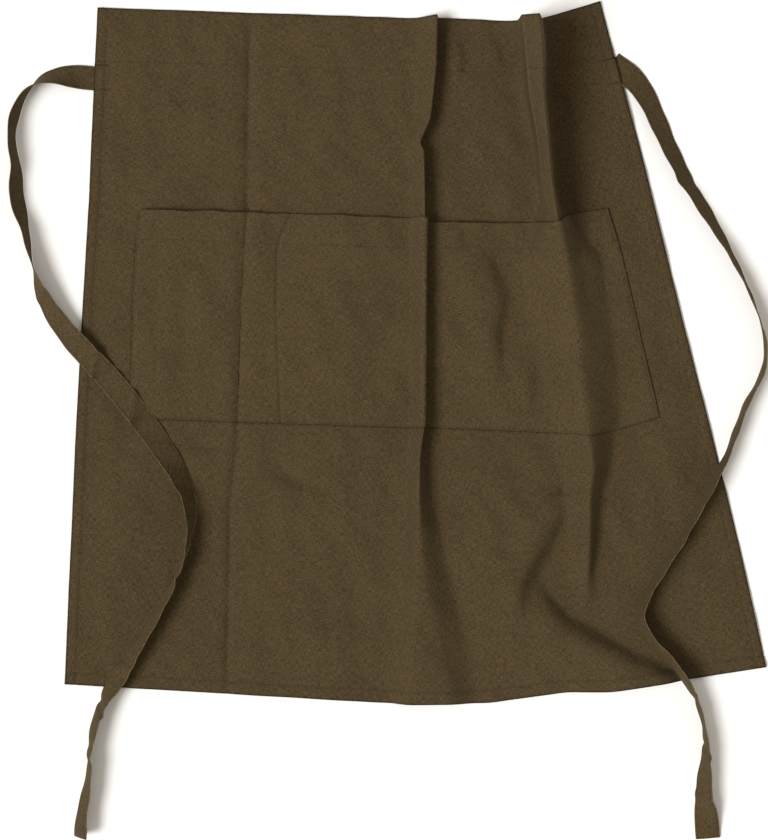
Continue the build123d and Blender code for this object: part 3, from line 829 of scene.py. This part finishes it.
def canvasMaterial(name, seamsPaintedShadeAndHighlight, shade=1.0):
    # plain-woven cotton: warp and weft by the piece's own UV in metres, uneven yarns, faint mottling
    shader = Shader(name)
    uv = shader.node("ShaderNodeUVMap", {"uv_map": "cloth"})
    split = shader.nodes.new("ShaderNodeSeparateXYZ")
    shader.links.new(uv.socket, split.inputs[0])
    u = Socket(shader.nodes, shader.links, split.outputs[0])
    v = Socket(shader.nodes, shader.links, split.outputs[1])

    def noise(uScale, vScale, detail, seed):
        place = shader.node("ShaderNodeCombineXYZ", X=u * uScale, Y=v * vScale, Z=seed)
        return shader.node("ShaderNodeTexNoise", {"noise_dimensions": "3D"}, Vector=place, Scale=1.0,
                           Detail=detail, Roughness=0.55)

    warpSlub = noise(1500.0, 230.0, 1.0, 1.0)
    weftSlub = noise(230.0, 1500.0, 1.0, 2.0)
    grain = noise(1050.0, 1050.0, 1.0, 3.0)
    mottle = noise(120.0, 120.0, 2.0, 4.0)
    cloud = noise(18.0, 18.0, 2.0, 5.0)
    warp = shader.node("ShaderNodeMath", {"operation": "SINE"}, i0=u * (canvas["warpPerMetre"] * 6.2832))
    weft = shader.node("ShaderNodeMath", {"operation": "SINE"}, i0=v * (canvas["weftPerMetre"] * 6.2832))
    heather = ((warpSlub + weftSlub - 1.0) * 0.62 + 0.5 + (grain - 0.5) * 0.40
               + (mottle - 0.5) * 0.07 + (cloud - 0.5) * 0.10)
    tone = shader.node("ShaderNodeMapRange", Value=heather, From_Min=0.34, From_Max=0.66)
    colour = shader.node("ShaderNodeMix", {"data_type": "RGBA"}, output=2, i0=tone, i6=canvas["dark"],
                         i7=canvas["light"])
    hue = shader.node("ShaderNodeMapRange", Value=mottle + (grain - 0.5) * 0.5, From_Min=0.34, From_Max=0.66)
    tinge = shader.node("ShaderNodeMix", {"data_type": "RGBA"}, output=2, i0=hue, i6=canvas["green"],
                        i7=canvas["red"])
    mixed = shader.node("ShaderNodeMix", {"data_type": "RGBA"}, output=2, i0=0.26, i6=colour, i7=tinge)
    darkness = seamsPaintedShadeAndHighlight(shader, u, v)  # stitch lines and painted shade darken the cloth; below 0 where a painted highlight lightens an edge
    kept = shade - darkness * shade
    grey = shader.node("ShaderNodeCombineColor", Red=kept, Green=kept, Blue=kept)
    toned = shader.node("ShaderNodeMix", {"data_type": "RGBA", "blend_type": "MULTIPLY"}, output=2, i0=1.0, i6=mixed,
                        i7=grey)
    shader.join(toned, "Base Color")
    relief = warp * weft * 0.2 + (warpSlub + weftSlub) * 1.0 + grain * 0.8
    bump = shader.node("ShaderNodeBump", Strength=0.6, Distance=0.00022, Height=relief)
    shader.join(bump, "Normal")
    shader.surface.inputs["Roughness"].default_value = canvas["roughness"]
    shader.surface.inputs["Specular IOR Level"].default_value = 0.10
    shader.surface.inputs["Sheen Weight"].default_value = 0.10
    shader.surface.inputs["Sheen Roughness"].default_value = 0.5
    shader.surface.inputs["Sheen Tint"].default_value = (0.42, 0.34, 0.20, 1)
    return shader.material


def lineFalloff(distance, width):
    # 1 on the line, falling to nothing within a few widths: 1 / (1 + (d/w)^2)^2
    far = distance * (1 / width)
    share = 1.0 / (far * far + 1.0)
    return share * share


def pocketDistance(shader, u, v):
    # distance outside the pocket's outline, below 0 within it
    sideways = shader.node("ShaderNodeMath", {"operation": "ABSOLUTE"}, i0=u - (left + pocketRight) / 2)
    upright = shader.node("ShaderNodeMath", {"operation": "ABSOLUTE"}, i0=v - (pocket["mouth"] + pocket["foot"]) / 2)
    return shader.node("ShaderNodeMath", {"operation": "MAXIMUM"}, i0=sideways - (pocketRight - left) / 2,
                       i1=upright - (pocket["foot"] - pocket["mouth"]) / 2)


def above(shader, value, limit):
    return shader.node("ShaderNodeMath", {"operation": "GREATER_THAN"}, i0=value, i1=limit)


upper = vFine < 0.20
kneeLine = np.polyfit(vFine[upper], reach[upper, 9], 2)  # the strip's left edge, above the pocket


def skirtSeamsPaintedShadeAndHighlight(shader, u, v):
    outside = pocketDistance(shader, u, v)
    beyondKnee = u - ((v * float(kneeLine[0]) + float(kneeLine[1])) * v + float(kneeLine[2]))
    # painted shade and painted highlight: a broad dark band on the pinch's wall left of the strip's edge, and a light
    # line just past that edge, fading out towards the pocket
    strip = lineFalloff(beyondKnee + 0.018, 0.022) * 0.42 - lineFalloff(beyondKnee - 0.0018, 0.0026) * 0.40
    strip = strip * shader.node("ShaderNodeMapRange", Value=v, From_Min=0.11, From_Max=0.20, To_Min=1.0, To_Max=0.0)
    # painted shade: a dark line along all four outer edges of the cloth, where its turned edge is shaded
    rim = lineFalloff(u, 0.0017) + lineFalloff(u - clothWidth, 0.0017) + lineFalloff(v, 0.0017) + lineFalloff(v - height, 0.0017)
    anchorEdges = lineFalloff(v - (tieDrop - halfTie), 0.0009) + lineFalloff(v - (tieDrop + halfTie), 0.0009) * 0.7
    anchorReach = above(shader, skirt["anchorReach"] - u, 0.0) + above(shader, u, clothWidth - skirt["anchorReach"])
    # painted shade: the skirt is darkened in a thin line just outside the pocket's sewn-down edges; the hem and tie
    # anchor lines are stitching
    return (lineFalloff(outside - 0.0002, 0.0009) * 0.42 * above(shader, v, pocket["mouth"] + 0.004)
            + lineFalloff(u - skirt["sideHem"], 0.0009) * 0.28
            + lineFalloff(u - (clothWidth - skirt["sideHem"]), 0.0009) * 0.22
            + lineFalloff(v - skirt["waistHem"], 0.0008) * 0.16 + lineFalloff(v - bottomIn, 0.0008) * 0.18
            + anchorEdges * anchorReach * 0.85 + rim * 0.78 + strip)


def pocketSeamsAndPaintedShade(shader, u, v):
    outside = pocketDistance(shader, u, v)
    # painted shade: the pocket's outermost edge is darkened where it meets the skirt; the line just inside it, the
    # divider and the mouth hem line are stitching
    return (lineFalloff(outside, 0.0006) * 0.38 * above(shader, v, pocket["mouth"] + 0.006)
            + lineFalloff(outside + pocket["edgeStitch"], 0.0006) * 0.12 * above(shader, v, pocket["mouth"] + 0.006)
            + lineFalloff(u - pocket["divider"], 0.0007) * 0.26
            + lineFalloff(v - (pocket["mouth"] + pocket["mouthHem"]), 0.0008) * 0.14)


def tapeSeamsAndPaintedHighlight(shader, u, v):
    # painted highlight: both edges of the tape are lightened where light catches a raised edge; the sewn lines are
    # its edge stitching
    paintedEdgeHighlight = lineFalloff(u, 0.0009) + lineFalloff(u - tie["width"], 0.0009)
    sewn = lineFalloff(u - tie["width"] * 0.10, 0.0007) + lineFalloff(u - tie["width"] * 0.90, 0.0007)
    return sewn * 0.28 - paintedEdgeHighlight * 0.70


def threadMaterial():
    # cotton thread: the cloth's colour, a little smoother, twisted along its length
    shader = Shader("thread")
    place = shader.node("ShaderNodeTexCoord", output=3)
    twist = shader.node("ShaderNodeTexNoise", Vector=place, Scale=2600.0, Detail=1.0)
    colour = shader.node("ShaderNodeMix", {"data_type": "RGBA"}, output=2, i0=twist, i6=(0.052, 0.036, 0.019, 1),
                         i7=(0.092, 0.066, 0.036, 1))
    shader.join(colour, "Base Color")
    shader.surface.inputs["Roughness"].default_value = 0.75
    shader.surface.inputs["Specular IOR Level"].default_value = 0.25
    return shader.material


skirtCloth = canvasMaterial("skirt_canvas", skirtSeamsPaintedShadeAndHighlight)
pocketCloth = canvasMaterial("pocket_canvas", pocketSeamsAndPaintedShade, 1.03)
tieCloth = canvasMaterial("tie_canvas", tapeSeamsAndPaintedHighlight, 1.0)
sewing = threadMaterial()


# --- pieces in place of the CAD solids

def finishPiece(piece, node, material):
    piece.data.materials.append(material)
    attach(piece, "root")
    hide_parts(node)


finishPiece(skirtPanel, "skirt_panel", skirtCloth)
finishPiece(pocketPanel, "pocket_panel", pocketCloth)
for name, piece in threads.items():
    finishPiece(piece, name, sewing)
for name, (tape, centre, length) in tapes.items():
    finishPiece(tape, name, tieCloth)


# --- camera, floor and light

view = {"above": 2.4, "x": -0.0324, "y": -0.0695, "across": 0.791}

camera = bpy.data.objects.new("camera", bpy.data.cameras.new("camera"))
bpy.context.scene.collection.objects.link(camera)
camera.location = (view["x"], view["y"], view["above"])
camera.data.sensor_fit = "HORIZONTAL"
camera.data.lens = camera.data.sensor_width * view["above"] / view["across"]
bpy.context.scene.camera = camera

floorMesh = bpy.data.meshes.new("floor")
reachOut = 30  # m, so that a low view still ends on the floor
corners = [(-reachOut, -reachOut, 0), (reachOut, -reachOut, 0), (reachOut, reachOut, 0), (-reachOut, reachOut, 0)]
floorMesh.from_pydata(corners, [], [(0, 1, 2, 3)])
floorPlane = bpy.data.objects.new("floor", floorMesh)
bpy.context.scene.collection.objects.link(floorPlane)
floorShader = Shader("floor_white")
floorShader.surface.inputs["Base Color"].default_value = (0.93, 0.93, 0.925, 1)
floorShader.surface.inputs["Roughness"].default_value = 0.9
floorMesh.materials.append(floorShader.material)

light = {"elevation": 53, "azimuth": 204, "strength": 2.85, "angle": 26, "fill": 0.55}
sun = bpy.data.objects.new("key", bpy.data.lights.new("key", "SUN"))
bpy.context.scene.collection.objects.link(sun)
sun.data.energy = light["strength"]
sun.data.angle = np.radians(light["angle"])
sun.rotation_euler = (0, np.radians(90 - light["elevation"]), np.radians(light["azimuth"]))
world = bpy.data.worlds.new("studio")
world.use_nodes = True
world.node_tree.nodes["Background"].inputs[0].default_value = (1, 0.93, 0.83, 1)
world.node_tree.nodes["Background"].inputs[1].default_value = light["fill"]
bpy.context.scene.world = world
bpy.context.scene.view_settings.view_transform = "Standard"
print("scene ready")
